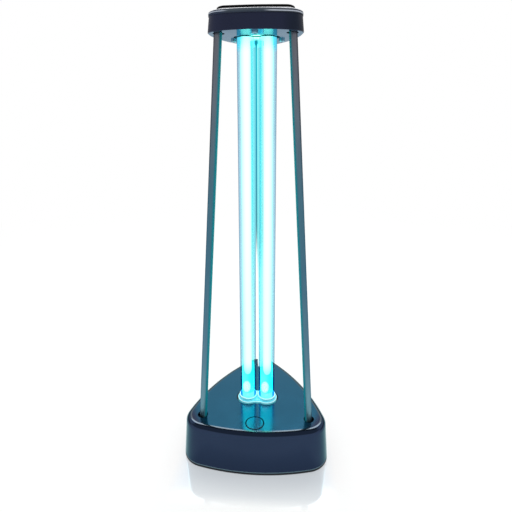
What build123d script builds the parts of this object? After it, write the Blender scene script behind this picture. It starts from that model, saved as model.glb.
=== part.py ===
from build123d import *
from math import asin, cos, degrees, radians, sin, sqrt, tan
import os

# Table-top ultraviolet lamp: three-cornered base, three leaning rods, twin quartz tube, top cap.
# Millimetres, +Z up, origin on the table under the lamp's axis, front towards -Y.

# Directions of the three corners, with one corner to the rear
rear_angle = 90
corner_spacing_angle = 120
rod_names = ["rod_rear", "rod_front_left", "rod_front_right"]

# Base housing, a rounded triangle that is widest at the table
base_height = 42.5
corner_reach = 55.0
corner_radius = 22.9
edge_radius = 213.0
wall_draft = 4.0
top_edge_radius = 5.5
shell_wall = 2.5
top_wall = 2.5
inner_bevel = 1.8

# Base plate and anti-slip pad
pad_thickness = 0.5
pad_inset = 2.0
plate_thickness = 3.3
plate_top_bevel = 1.2
plate_foot_bevel = 0.4
plate_lip_width = 1.6
plate_lip_height = 2.0
plate_screw_side = 27.0
plate_screw_front = 40.0
plate_screw_rear = 41.0
plate_head_sink = 1.3
plate_tower_radius = 4.0

# Rods, which lean towards the lamp's axis
lamp_bay = 350.5
rod_diameter = 7.0
rod_foot_reach = 59.0
rod_head_reach = 35.6
rod_foot_depth = 16.0
rod_head_depth = 5.5
rod_hole_gap = 1.5
rod_hole_shift = 0.6
rod_hole_extra_depth = 1.5
rod_end_chamfer = 0.5
foot_boss_wall = 4.0
foot_boss_floor = 3.0
head_boss_wall = 2.6
head_boss_floor = 2.5

# Twin tube
tube_diameter = 16.0
tube_wall = 1.2
tube_gap = 2.8
tube_top_rise = 10.0
bridge_diameter = 9.0
bridge_drop = 8.5
tube_end_thickness = 2.0

# Lamp cap, the translucent plug that holds the tubes
flange_margin = 2.65
flange_waist = 9.0
waist_round = 4.0
flange_proud = 1.2
flange_step_inset = 1.4
flange_step_height = 0.5
flange_edge_bevel = 0.5
collar_wall = 1.1
collar_height = 3.0
collar_edge_bevel = 0.4
plug_margin = 0.8
plug_length = 14.0
tube_socket_depth = 6.0
opening_gap = 1.4
pin_diameter = 2.3
pin_pitch = 10.0
pin_count = 4
pin_length = 8.0
pin_root = 5.0

# Electrodes
stem_radius = 4.0
stem_tip_radius = 2.2
stem_height = 9.0
lead_radius = 0.45
lead_spread = 2.0
lead_height = 9.0
filament_radius = 0.8
filament_length = 8.4

# Lampholder
holder_end_wall = 6.0
holder_side_wall = 4.3
holder_floor = 9.6
holder_corner = 3.0
ear_drop = 7.0
ear_thickness = 3.0
ear_width = 9.0
ear_length = 8.0
ear_tower_radius = 3.5

# Push button and its switch
button_diameter = 16.6
button_gap = 0.8
button_place = 38.7
button_proud = 0.2
button_edge_bevel = 0.4
button_travel = 1.5
button_lip_width = 1.7
button_lip_thickness = 1.2
button_lip_gap = 0.3
button_stem_radius = 3.0
button_stem_length = 4.0
plunger_radius = 2.0
plunger_seat = 2.0
plunger_spare = 1.0
switch_size = 12.0
switch_floor = 0.8
switch_board_length = 36.0
switch_board_width = 15.0
switch_tower_side = 14.0
switch_tower_radius = 2.8

# Ballast board and its parts
board_thickness = 1.6
board_length = 80.0
board_width = 46.0
board_middle = -9.0
board_corner = 2.0
board_hole_inset = 4.0
board_part_margin = 1.0
standoff_height = 5.0
standoff_radius = 3.0
holder_clearance = 1.4
ear_clearance = 0.5
choke_length = 17.0
choke_width = 13.0
choke_height = 15.0
choke_core_margin = 2.0
choke_core_height = 5.0
capacitor_diameter = 12.0
capacitor_length = 20.0
capacitor_edge = 0.4
film_length = 14.0
film_width = 6.0
film_height = 9.0
film_pitch = 36.0
terminal_length = 15.0
terminal_width = 8.0
terminal_height = 8.0
terminal_ways = 3
terminal_way_radius = 1.3
terminal_way_depth = 4.0

# Cable gland in the rear wall
gland_height = 13.2
gland_bore = 6.5
gland_neck_wall = 1.2
gland_flange_width = 1.8
gland_flange_thickness = 2.2
gland_edge_bevel = 0.8
gland_seat_depth = 1.4
gland_seat_thickness = 3.6
gland_seat_margin = 0.6

# Top cap, bowed along its lower edge and narrower and straighter at the top
cap_corner_reach = 30.4
cap_corner_radius = 13.4
cap_edge_radius = 80.0
cap_top_reach = 29.0
cap_top_edge_radius = 120.0
cap_wall = 2.2
cap_floor = 2.5
cap_body_height = 12.9
cap_under_bevel = 0.6
cap_hole_end_gap = 2.6
cap_hole_side_gap = 1.5
cap_screw_reach = 24.5
cap_tower_radius = 3.0
cover_thickness = 3.7
cover_plate = 1.8
cover_overhang = 0.4
cover_edge_radius = 1.8
lid_corner_reach = 27.8
lid_corner_radius = 8.0
lid_edge_radius = 250.0
lid_recess = 0.8
lid_rise = 4.1
lid_edge_round = 1.5
trim_width = 0.8
trim_rise = 1.3
support_height = 6.0
support_end_wall = 3.6
support_side_wall = 2.5
support_rib = 1.2
support_rib_height = 4.0

# Fasteners
plate_screw = {"shank": 1.45, "length": 12.0, "head": 2.9, "head_height": 1.7}
rod_screw = {"shank": 2.0, "length": 11.0, "head": 3.5, "head_height": 2.2}
cap_screw = {"shank": 1.45, "length": 9.0, "head": 2.7, "head_height": 1.9}
holder_screw = {"shank": 1.45, "length": 8.0, "head": 2.7, "head_height": 1.8}
board_screw = {"shank": 1.2, "length": 5.5, "head": 2.3, "head_height": 1.5}
screw_clearance = 0.3
screw_bite = 0.05
head_bevel = 0.5
cross_length = 3.4
cross_width = 0.8
cross_depth = 0.9

# Clearances
slip = 0.1
seat_gap = 0.2
plug_gap = 0.4

# Heights and places that follow from the sizes above
corner_angles = [rear_angle + turn * corner_spacing_angle for turn in range(len(rod_names))]
rod_angles = dict(zip(rod_names, corner_angles))
seam = pad_thickness + plate_thickness
top_under = base_height - top_wall
cap_bottom = base_height + lamp_bay
cap_floor_top = cap_bottom + cap_floor
cover_bottom = cap_bottom + cap_body_height
cover_top = cover_bottom + cover_thickness
cover_ceiling = cover_top - cover_plate
rod_radius = rod_diameter / 2
rod_hole_radius = rod_radius + rod_hole_gap
rod_hole_depth = top_wall + rod_hole_extra_depth
rod_span = sqrt(lamp_bay**2 + (rod_foot_reach - rod_head_reach) ** 2)
foot_boss_depth = rod_foot_depth + foot_boss_floor
head_boss_rise = rod_head_depth + head_boss_floor
tube_radius = tube_diameter / 2
tube_place = (tube_diameter + tube_gap) / 2
tube_places = [(-tube_place, 0), (tube_place, 0)]
tube_bottom = top_under - tube_socket_depth
tube_top = cap_bottom + tube_top_rise
dome_bottom = tube_top - tube_radius
bridge_height = tube_top - bridge_drop
flange_top = base_height + flange_proud
collar_top = flange_top + collar_height
plug_bottom = top_under - plug_length
holder_cavity_floor = plug_bottom - plug_gap
holder_bottom = holder_cavity_floor - holder_floor
holder_half_length = tube_place + tube_radius + plug_margin + plug_gap + holder_end_wall
holder_half_width = tube_radius + plug_margin + plug_gap + holder_side_wall
ear_place = holder_half_length + ear_length / 2
ear_top = top_under - ear_drop
ear_places = [(-ear_place, 0), (ear_place, 0)]
button_lip_top = top_under - button_lip_gap
button_lip_bottom = button_lip_top - button_lip_thickness
plunger_top = button_lip_bottom - button_stem_length
switch_top = plunger_top - button_travel - plunger_spare
switch_bore_depth = plunger_seat + button_travel + seat_gap
switch_bottom = switch_top - switch_bore_depth - switch_floor
switch_tower_places = [(-switch_tower_side, -button_place), (switch_tower_side, -button_place)]
board_bottom = seam + standoff_height
board_top = board_bottom + board_thickness
board_front = board_middle - board_width / 2
board_hole_side = board_length / 2 - board_hole_inset
board_hole_reach = board_width / 2 - board_hole_inset
board_hole_places = [
    (side * board_hole_side, board_middle + end * board_hole_reach) for side in (-1, 1) for end in (-1, 1)
]
plate_screw_places = [
    (-plate_screw_side, -plate_screw_front),
    (plate_screw_side, -plate_screw_front),
    (0, plate_screw_rear),
]
cap_screw_places = [Vector(-cap_screw_reach, 0).rotate(Axis.Z, angle) for angle in corner_angles]
stand = (Align.CENTER, Align.CENTER, Align.MIN)
hang = (Align.CENTER, Align.CENTER, Align.MAX)


def rounded_triangle(reach, corner, edge, grow):
    """Three corner rounds joined by bowed sides, one side to the front."""
    half_turn = corner_spacing_angle / 2
    along = reach * sin(radians(half_turn))
    bow_centre = sqrt((edge - corner) ** 2 - along**2) - reach * cos(radians(half_turn))
    half = degrees(asin(along / (edge - corner)))
    with BuildSketch() as outline:
        with BuildLine():
            for angle in corner_angles:
                side = angle - half_turn
                middle = Vector(-bow_centre, 0).rotate(Axis.Z, side)
                CenterArc(middle, edge + grow, side - half, 2 * half)
                tip = Vector(reach, 0).rotate(Axis.Z, angle)
                CenterArc(tip, corner + grow, side + half, corner_spacing_angle - 2 * half)
        make_face()
    return outline.sketch


def base_outline(height, grow=0.0):
    """The drafted base wall's outline at a height above the table."""
    draft = height * tan(radians(wall_draft))
    return rounded_triangle(corner_reach, corner_radius, edge_radius, grow - draft)


def cap_outline(grow=0.0):
    return rounded_triangle(cap_corner_reach, cap_corner_radius, cap_edge_radius, grow)


def cap_top_outline(grow=0.0):
    return rounded_triangle(cap_top_reach, cap_corner_radius, cap_top_edge_radius, grow)


def lid_outline(grow=0.0):
    return rounded_triangle(lid_corner_reach, lid_corner_radius, lid_edge_radius, grow)


def figure_eight(grow=0.0):
    """The lamp cap's outline: a lobe round each tube and a rounded waist."""
    with BuildSketch() as outline:
        with Locations(*tube_places):
            Circle(tube_radius + flange_margin + grow)
        Rectangle(2 * tube_place, 2 * (flange_waist + grow))
        fillet([v for v in outline.vertices() if abs(v.X) < tube_place], waist_round)
    return outline.sketch


def twin_slot(end_gap, side_gap):
    """A slot round both tubes, with one gap at its ends and another at its sides."""
    with BuildSketch() as outline:
        SlotOverall(2 * (tube_place + tube_radius + end_gap), 2 * (tube_radius + side_gap))
    return outline.sketch


def rod_plane(angle, along=0.0):
    """Plane across a rod, a distance up its axis from the base's top."""
    foot = Vector(rod_foot_reach, 0, base_height).rotate(Axis.Z, angle)
    head = Vector(rod_head_reach, 0, cap_bottom).rotate(Axis.Z, angle)
    return Plane(origin=foot, z_dir=head - foot).offset(along)


def plain_screw(size):
    """Screw with its head's seat at z 0, the shank up and the head down."""
    with BuildPart() as screw:
        Cylinder(size["shank"], size["length"], align=stand)
        Cylinder(size["head"], size["head_height"], align=hang)
    return screw.part


def cross_screw(size):
    """The screw of an outer face, with a bevelled, cross-recessed head."""
    with BuildPart() as screw:
        add(plain_screw(size))
        chamfer(screw.faces().sort_by(Axis.Z)[0].edges(), head_bevel)
        with BuildSketch(Plane.XY.offset(-size["head_height"])):
            Rectangle(cross_length, cross_width)
            Rectangle(cross_width, cross_length)
        extrude(amount=cross_depth, mode=Mode.SUBTRACT)
    return screw.part


# Base housing: hollow, with screw towers, rod bosses, lamp opening, button hole and gland seat
rear_wall = corner_reach + corner_radius - gland_height * tan(radians(wall_draft))
gland_neck_radius = gland_bore / 2 + gland_neck_wall
gland_flange_radius = gland_neck_radius + gland_flange_width
gland_plane = Plane(origin=(0, rear_wall - gland_seat_depth, gland_height), z_dir=(0, 1, 0))

with BuildPart() as base_cavity:
    with BuildSketch(Plane.XY.offset(seam)):
        add(base_outline(seam, -shell_wall))
    extrude(amount=top_under - seam, taper=wall_draft)
    chamfer(base_cavity.faces().sort_by(Axis.Z)[-1].edges(), inner_bevel)

with BuildPart() as base_shell:
    with BuildSketch(Plane.XY.offset(seam)):
        add(base_outline(seam))
    extrude(amount=base_height - seam, taper=wall_draft)
    fillet(base_shell.faces().sort_by(Axis.Z)[-1].edges(), top_edge_radius)
    add(base_cavity.part, mode=Mode.SUBTRACT)
    with Locations(*[(x, y, seam) for x, y in plate_screw_places]):
        Cylinder(plate_tower_radius, top_under - seam + top_wall / 2, align=stand)
    with Locations(*[(x, y, switch_bottom) for x, y in switch_tower_places]):
        Cylinder(switch_tower_radius, top_under - switch_bottom + top_wall / 2, align=stand)
    with Locations(*[(x, y, ear_top) for x, y in ear_places]):
        Cylinder(ear_tower_radius, ear_drop + top_wall / 2, align=stand)
    for angle in rod_angles.values():
        with BuildSketch(rod_plane(angle, -foot_boss_depth)):
            Circle(rod_radius + foot_boss_wall)
        extrude(amount=foot_boss_depth - top_wall / 2)
    with BuildSketch(gland_plane):
        Circle(gland_flange_radius + gland_seat_margin)
    extrude(amount=-gland_seat_thickness)
    with BuildSketch(gland_plane):
        Circle(gland_flange_radius + gland_seat_margin)
    extrude(amount=gland_seat_depth + shell_wall, mode=Mode.SUBTRACT)
    with BuildSketch(gland_plane):
        Circle(gland_neck_radius + slip)
    extrude(amount=-gland_seat_thickness, mode=Mode.SUBTRACT)
    for angle in rod_angles.values():
        with BuildSketch(rod_plane(angle, -rod_foot_depth)):
            Circle(rod_radius + slip)
        extrude(amount=rod_foot_depth + top_wall, mode=Mode.SUBTRACT)
        with BuildSketch(rod_plane(angle, -foot_boss_depth)):
            Circle(rod_screw["shank"] + screw_clearance)
        extrude(amount=foot_boss_depth, mode=Mode.SUBTRACT)
        with Locations(Vector(rod_foot_reach + rod_hole_shift, 0, base_height).rotate(Axis.Z, angle)):
            Cylinder(rod_hole_radius, rod_hole_depth, align=hang, mode=Mode.SUBTRACT)
    with BuildSketch(Plane.XY.offset(base_height)):
        add(figure_eight(opening_gap))
        with Locations((0, -button_place)):
            Circle(button_diameter / 2 + button_gap)
    extrude(amount=-top_wall, mode=Mode.SUBTRACT)
    with Locations(*[(x, y, seam) for x, y in plate_screw_places]):
        Cylinder(plate_screw["shank"] + screw_bite, plate_screw["length"], align=stand, mode=Mode.SUBTRACT)
    with Locations(*[(x, y, switch_bottom) for x, y in switch_tower_places]):
        Cylinder(board_screw["shank"] + screw_bite, board_screw["length"], align=stand, mode=Mode.SUBTRACT)
    with Locations(*[(x, y, ear_top) for x, y in ear_places]):
        Cylinder(holder_screw["shank"] + screw_bite, ear_drop, align=stand, mode=Mode.SUBTRACT)

# Base plate: closes the housing, with a locating lip, countersunk screw seats and board standoffs
with BuildPart() as base_plate:
    with BuildSketch(Plane.XY.offset(pad_thickness)):
        add(base_outline(seam))
    extrude(amount=plate_thickness)
    chamfer(base_plate.faces().sort_by(Axis.Z)[-1].edges(), plate_top_bevel)
    chamfer(base_plate.faces().sort_by(Axis.Z)[0].edges(), plate_foot_bevel)
    with BuildSketch(Plane.XY.offset(seam)):
        add(base_outline(seam, -shell_wall - seat_gap))
        add(base_outline(seam, -shell_wall - seat_gap - plate_lip_width), mode=Mode.SUBTRACT)
    extrude(amount=plate_lip_height)
    with Locations(*[(x, y, seam) for x, y in board_hole_places]):
        Cylinder(standoff_radius, standoff_height, align=stand)
    with Locations(*[(x, y, board_bottom) for x, y in board_hole_places]):
        Cylinder(board_screw["shank"] + screw_bite, board_screw["length"], align=hang, mode=Mode.SUBTRACT)
    with Locations(*[(x, y, pad_thickness) for x, y in plate_screw_places]):
        Cylinder(plate_screw["shank"] + screw_clearance, plate_thickness, align=stand, mode=Mode.SUBTRACT)
        Cylinder(plate_screw["head"] + screw_clearance, plate_head_sink, align=stand, mode=Mode.SUBTRACT)

# Anti-slip pad under the plate, open over the screws
with BuildPart() as anti_slip_pad:
    with BuildSketch():
        add(base_outline(seam, -pad_inset))
        with Locations(*plate_screw_places):
            Circle(plate_screw["head"] + 2 * screw_clearance, mode=Mode.SUBTRACT)
    extrude(amount=pad_thickness)

with BuildPart() as base_plate_screws:
    with Locations(*[(x, y, pad_thickness + plate_head_sink) for x, y in plate_screw_places]):
        add(cross_screw(plate_screw))

# Rods, tapped at both ends
rods = {}
for name, angle in rod_angles.items():
    with BuildPart() as rod:
        with BuildSketch(rod_plane(angle, -rod_foot_depth)):
            Circle(rod_radius)
        extrude(amount=rod_foot_depth + rod_span + rod_head_depth)
        chamfer(rod.faces().filter_by(GeomType.PLANE).edges(), rod_end_chamfer)
        with BuildSketch(rod_plane(angle, -rod_foot_depth)):
            Circle(rod_screw["shank"] + screw_bite)
        extrude(amount=rod_screw["length"], mode=Mode.SUBTRACT)
        with BuildSketch(rod_plane(angle, rod_span + rod_head_depth)):
            Circle(rod_screw["shank"] + screw_bite)
        extrude(amount=-rod_screw["length"], mode=Mode.SUBTRACT)
    rods[name] = rod

with BuildPart() as rod_foot_screws:
    with Locations(*[rod_plane(angle, -foot_boss_depth) for angle in rod_angles.values()]):
        add(plain_screw(rod_screw))

with BuildPart() as rod_head_screws:
    with Locations(*[-rod_plane(angle, rod_span + head_boss_rise) for angle in rod_angles.values()]):
        add(plain_screw(rod_screw))

# Twin quartz tube: two domed tubes with a bridge near their top, closed at the foot
with BuildPart() as tube_bore:
    with Locations(*[(x, y, tube_bottom + tube_end_thickness) for x, y in tube_places]):
        Cylinder(tube_radius - tube_wall, dome_bottom - tube_bottom - tube_end_thickness, align=stand)
    with Locations(*[(x, y, dome_bottom) for x, y in tube_places]):
        Sphere(tube_radius - tube_wall)
    with BuildSketch(Plane.YZ.offset(-tube_place)):
        with Locations((0, bridge_height)):
            Circle(bridge_diameter / 2 - tube_wall)
    extrude(amount=2 * tube_place)

with BuildPart() as uv_tube:
    with Locations(*[(x, y, tube_bottom) for x, y in tube_places]):
        Cylinder(tube_radius, dome_bottom - tube_bottom, align=stand)
    with Locations(*[(x, y, dome_bottom) for x, y in tube_places]):
        Sphere(tube_radius)
    with BuildSketch(Plane.YZ.offset(-tube_place)):
        with Locations((0, bridge_height)):
            Circle(bridge_diameter / 2)
    extrude(amount=2 * tube_place)
    add(tube_bore.part, mode=Mode.SUBTRACT)

# Electrodes: a glass stem, two lead wires and a filament in the foot of each tube
with BuildPart() as electrode:
    Cone(stem_radius, stem_tip_radius, stem_height, align=stand)
    with Locations((-lead_spread, 0, 0), (lead_spread, 0, 0)):
        Cylinder(lead_radius, stem_height + lead_height, align=stand)
    with BuildSketch(Plane.YZ.offset(-filament_length / 2)):
        with Locations((0, stem_height + lead_height)):
            Circle(filament_radius)
    extrude(amount=filament_length)

with BuildPart() as electrodes:
    with Locations(*[(x, y, tube_bottom + tube_end_thickness) for x, y in tube_places]):
        add(electrode.part)

# Lamp cap: stepped figure-of-eight flange, a collar round each tube, and the plug with its pin holes
pin_places = [((step - (pin_count - 1) / 2) * pin_pitch, 0) for step in range(pin_count)]

with BuildPart() as lamp_cap:
    with BuildSketch(Plane.XY.offset(top_under)):
        add(figure_eight())
    extrude(amount=flange_top - top_under)
    chamfer(lamp_cap.faces().sort_by(Axis.Z)[-1].edges(), flange_edge_bevel)
    with BuildSketch(Plane.XY.offset(flange_top)):
        add(figure_eight(-flange_step_inset))
    extrude(amount=flange_step_height)
    with Locations(*[(x, y, flange_top) for x, y in tube_places]):
        Cylinder(tube_radius + collar_wall, collar_height, align=stand)
    chamfer(lamp_cap.faces().group_by(Axis.Z)[-1].edges(), collar_edge_bevel)
    with BuildSketch(Plane.XY.offset(plug_bottom)):
        add(twin_slot(plug_margin, plug_margin))
    extrude(amount=plug_length)
    with Locations(*[(x, y, tube_bottom) for x, y in tube_places]):
        Cylinder(tube_radius + slip, collar_top - tube_bottom, align=stand, mode=Mode.SUBTRACT)
    with Locations(*[(x, y, plug_bottom) for x, y in pin_places]):
        Cylinder(pin_diameter / 2 + screw_bite, pin_root, align=stand, mode=Mode.SUBTRACT)

with BuildPart() as lamp_pins:
    with Locations(*[(x, y, plug_bottom - pin_length) for x, y in pin_places]):
        Cylinder(pin_diameter / 2, pin_length + pin_root, align=stand)

# Lampholder: socket for the plug, pin holes below it, an ear at each end
with BuildPart() as lampholder:
    with BuildSketch(Plane.XY.offset(holder_bottom)):
        RectangleRounded(2 * holder_half_length, 2 * holder_half_width, holder_corner)
    extrude(amount=top_under - holder_bottom)
    with BuildSketch(Plane.XY.offset(ear_top - ear_thickness)):
        Rectangle(2 * (holder_half_length + ear_length), ear_width)
    extrude(amount=ear_thickness)
    with BuildSketch(Plane.XY.offset(holder_cavity_floor)):
        add(twin_slot(plug_margin + plug_gap, plug_margin + plug_gap))
    extrude(amount=top_under - holder_cavity_floor, mode=Mode.SUBTRACT)
    with Locations(*[(x, y, holder_cavity_floor) for x, y in pin_places]):
        Cylinder(pin_diameter / 2 + seat_gap, pin_length + seat_gap, align=hang, mode=Mode.SUBTRACT)
    with Locations(*[(x, y, ear_top) for x, y in ear_places]):
        Cylinder(holder_screw["shank"] + screw_clearance, ear_thickness, align=hang, mode=Mode.SUBTRACT)

with BuildPart() as lampholder_screws:
    with Locations(*[(x, y, ear_top - ear_thickness) for x, y in ear_places]):
        add(plain_screw(holder_screw))

# Ballast board with its choke, capacitors and terminal block
with BuildPart() as ballast_board:
    with BuildSketch(Plane.XY.offset(board_bottom)):
        with Locations((0, board_middle)):
            RectangleRounded(board_length, board_width, board_corner)
        with Locations(*board_hole_places):
            Circle(board_screw["shank"] + screw_clearance, mode=Mode.SUBTRACT)
    extrude(amount=board_thickness)

with BuildPart() as ballast_screws:
    with Locations(*[Location((x, y, board_top), (180, 0, 0)) for x, y in board_hole_places]):
        add(plain_screw(board_screw))

choke_side = -holder_half_length - holder_clearance - choke_width / 2
choke_front = -ear_width / 2 - ear_clearance - choke_length / 2
core_height = board_top + (choke_height - choke_core_height) / 2
with BuildPart() as ballast_choke:
    with Locations((choke_side, choke_front, board_top)):
        Box(choke_width - 2 * choke_core_margin, choke_length, choke_height, align=stand)
    with Locations((choke_side, choke_front, core_height)):
        Box(choke_width, choke_length - 2 * choke_core_margin, choke_core_height, align=stand)

capacitor_place = holder_half_length + holder_clearance + capacitor_diameter / 2
capacitor_plane = Plane(
    origin=(capacitor_place, board_middle - capacitor_length / 2, board_top + capacitor_diameter / 2),
    z_dir=(0, 1, 0),
)
with BuildPart() as ballast_capacitor:
    with BuildSketch(capacitor_plane):
        Circle(capacitor_diameter / 2)
    extrude(amount=capacitor_length)
    chamfer(ballast_capacitor.edges().filter_by(GeomType.CIRCLE), capacitor_edge)

film_place = board_front + board_part_margin + film_width / 2
with BuildPart() as film_capacitors:
    with Locations((-film_pitch / 2, film_place, board_top), (film_pitch / 2, film_place, board_top)):
        Box(film_length, film_width, film_height, align=stand)
    fillet(film_capacitors.edges().filter_by(Axis.Z), board_part_margin)

terminal_place = board_front + board_part_margin + terminal_width / 2
with BuildPart() as terminal_block:
    with Locations((0, terminal_place, board_top)):
        Box(terminal_length, terminal_width, terminal_height, align=stand)
    with Locations((0, terminal_place, board_top + terminal_height)):
        with GridLocations(terminal_length / terminal_ways, 0, terminal_ways, 1):
            Cylinder(terminal_way_radius, terminal_way_depth, align=hang, mode=Mode.SUBTRACT)

# Push button on its switch
with BuildPart() as power_button:
    with Locations((0, -button_place, button_lip_bottom)):
        Cylinder(button_diameter / 2, base_height + button_proud - button_lip_bottom, align=stand)
    chamfer(power_button.faces().sort_by(Axis.Z)[-1].edges(), button_edge_bevel)
    with Locations((0, -button_place, button_lip_bottom)):
        Cylinder(button_diameter / 2 + button_lip_width, button_lip_thickness, align=stand)
        Cylinder(button_stem_radius, button_stem_length, align=hang)

with BuildPart() as switch_plunger:
    with Locations((0, -button_place, plunger_top)):
        Cylinder(plunger_radius, plunger_top - switch_top + plunger_seat, align=hang)

with BuildPart() as push_switch:
    with Locations((0, -button_place, switch_bottom)):
        Box(switch_size, switch_size, switch_top - switch_bottom, align=stand)
    chamfer(push_switch.edges().filter_by(Axis.Z), board_part_margin)
    with Locations((0, -button_place, switch_top)):
        Cylinder(plunger_radius + slip, switch_bore_depth, align=hang, mode=Mode.SUBTRACT)

with BuildPart() as switch_board:
    with BuildSketch(Plane.XY.offset(switch_bottom)):
        with Locations((0, -button_place)):
            RectangleRounded(switch_board_length, switch_board_width, board_corner)
        with Locations(*switch_tower_places):
            Circle(board_screw["shank"] + screw_clearance, mode=Mode.SUBTRACT)
    extrude(amount=-board_thickness)

with BuildPart() as switch_board_screws:
    with Locations(*[(x, y, switch_bottom - board_thickness) for x, y in switch_tower_places]):
        add(plain_screw(board_screw))

# Cable gland: a flange on each side of the rear wall and an open bore
with BuildPart() as cable_gland:
    with BuildSketch(gland_plane):
        Circle(gland_flange_radius)
    extrude(amount=gland_flange_thickness)
    chamfer(cable_gland.faces().sort_by(Axis.Y)[-1].edges(), gland_edge_bevel)
    with BuildSketch(gland_plane):
        Circle(gland_neck_radius)
    extrude(amount=-gland_seat_thickness)
    with BuildSketch(gland_plane.offset(-gland_seat_thickness)):
        Circle(gland_flange_radius)
    extrude(amount=-gland_flange_thickness)
    with BuildSketch(gland_plane.offset(gland_flange_thickness)):
        Circle(gland_bore / 2)
    extrude(amount=-gland_seat_thickness - 2 * gland_flange_thickness, mode=Mode.SUBTRACT)

# Top cap body: floor with the tube slot, rod sockets, screw holes and the rib that holds the soft ring
with BuildPart() as cap_cavity:
    with BuildSketch(Plane.XY.offset(cap_bottom)):
        add(cap_outline(-cap_wall))
    with BuildSketch(Plane.XY.offset(cover_bottom)):
        add(cap_top_outline(-cap_wall))
    loft(ruled=True)
    split(bisect_by=Plane.XY.offset(cap_floor_top), keep=Keep.TOP)

with BuildPart() as cap_body:
    with BuildSketch(Plane.XY.offset(cap_bottom)):
        add(cap_outline())
    with BuildSketch(Plane.XY.offset(cover_bottom)):
        add(cap_top_outline())
    loft(ruled=True)
    chamfer(cap_body.faces().sort_by(Axis.Z)[0].edges(), cap_under_bevel)
    add(cap_cavity.part, mode=Mode.SUBTRACT)
    with BuildSketch(Plane.XY.offset(cap_floor_top)):
        add(twin_slot(support_end_wall + slip + support_rib, support_side_wall + slip + support_rib))
        add(twin_slot(support_end_wall + slip, support_side_wall + slip), mode=Mode.SUBTRACT)
    extrude(amount=support_rib_height)
    for angle in rod_angles.values():
        with BuildSketch(rod_plane(angle, rod_span + cap_floor / 2)):
            Circle(rod_radius + head_boss_wall)
        extrude(amount=head_boss_rise - cap_floor / 2)
    for angle in rod_angles.values():
        with BuildSketch(rod_plane(angle, rod_span - cap_floor)):
            Circle(rod_radius + slip)
        extrude(amount=cap_floor + rod_head_depth, mode=Mode.SUBTRACT)
        with BuildSketch(rod_plane(angle, rod_span)):
            Circle(rod_screw["shank"] + screw_clearance)
        extrude(amount=head_boss_rise, mode=Mode.SUBTRACT)
        with Locations(Vector(rod_head_reach - rod_hole_shift, 0, cap_bottom).rotate(Axis.Z, angle)):
            Cylinder(rod_hole_radius, cap_floor, align=stand, mode=Mode.SUBTRACT)
    with BuildSketch(Plane.XY.offset(cap_bottom)):
        add(twin_slot(cap_hole_end_gap, cap_hole_side_gap))
        with Locations(*cap_screw_places):
            Circle(cap_screw["shank"] + screw_clearance)
    extrude(amount=cap_floor, mode=Mode.SUBTRACT)

# Cap cover: the grey lip, hollow below, with screw towers down to the cap's floor
with BuildPart() as cap_cover:
    with BuildSketch(Plane.XY.offset(cover_bottom)):
        add(cap_top_outline(cover_overhang))
    extrude(amount=cover_thickness)
    fillet(cap_cover.faces().sort_by(Axis.Z)[-1].edges(), cover_edge_radius)
    with BuildSketch(Plane.XY.offset(cover_bottom)):
        add(cap_top_outline(-cap_wall))
    extrude(amount=cover_ceiling - cover_bottom, mode=Mode.SUBTRACT)
    with BuildSketch(Plane.XY.offset(cover_top)):
        add(lid_outline(2 * slip + trim_width))
    extrude(amount=-lid_recess, mode=Mode.SUBTRACT)
    with Locations(*[(place.X, place.Y, cap_floor_top) for place in cap_screw_places]):
        Cylinder(cap_tower_radius, cover_ceiling - cap_floor_top, align=stand)
        Cylinder(cap_screw["shank"] + screw_bite, cap_screw["length"], align=stand, mode=Mode.SUBTRACT)

with BuildPart() as cap_trim:
    with BuildSketch(Plane.XY.offset(cover_top - lid_recess)):
        add(lid_outline(slip + trim_width))
        add(lid_outline(slip), mode=Mode.SUBTRACT)
    extrude(amount=lid_recess + trim_rise)

with BuildPart() as cap_lid:
    with BuildSketch(Plane.XY.offset(cover_top - lid_recess)):
        add(lid_outline())
    extrude(amount=lid_recess + lid_rise)
    fillet(cap_lid.faces().sort_by(Axis.Z)[-1].edges(), lid_edge_round)

with BuildPart() as cap_screws:
    with Locations(*[(place.X, place.Y, cap_bottom) for place in cap_screw_places]):
        add(cross_screw(cap_screw))

# Soft ring that steadies the tube ends, standing on the cap's floor
with BuildPart() as tube_support:
    with BuildSketch(Plane.XY.offset(cap_floor_top)):
        add(twin_slot(support_end_wall, support_side_wall))
        add(twin_slot(slip, slip), mode=Mode.SUBTRACT)
    extrude(amount=support_height)

pieces = {
    "base_shell": base_shell,
    "base_plate": base_plate,
    "anti_slip_pad": anti_slip_pad,
    "base_plate_screws": base_plate_screws,
    **rods,
    "rod_foot_screws": rod_foot_screws,
    "rod_head_screws": rod_head_screws,
    "uv_tube": uv_tube,
    "electrodes": electrodes,
    "lamp_cap": lamp_cap,
    "lamp_pins": lamp_pins,
    "lampholder": lampholder,
    "lampholder_screws": lampholder_screws,
    "ballast_board": ballast_board,
    "ballast_screws": ballast_screws,
    "ballast_choke": ballast_choke,
    "ballast_capacitor": ballast_capacitor,
    "film_capacitors": film_capacitors,
    "terminal_block": terminal_block,
    "power_button": power_button,
    "switch_plunger": switch_plunger,
    "push_switch": push_switch,
    "switch_board": switch_board,
    "switch_board_screws": switch_board_screws,
    "cable_gland": cable_gland,
    "cap_body": cap_body,
    "cap_cover": cap_cover,
    "cap_trim": cap_trim,
    "cap_lid": cap_lid,
    "cap_screws": cap_screws,
    "tube_support": tube_support,
}
os.makedirs("parts", exist_ok=True)
for name, piece in pieces.items():
    piece.part.label = name
    export_step(piece.part, f"parts/{name}.step")
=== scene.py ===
import bpy
import math
from mathutils import Matrix, Vector


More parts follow.
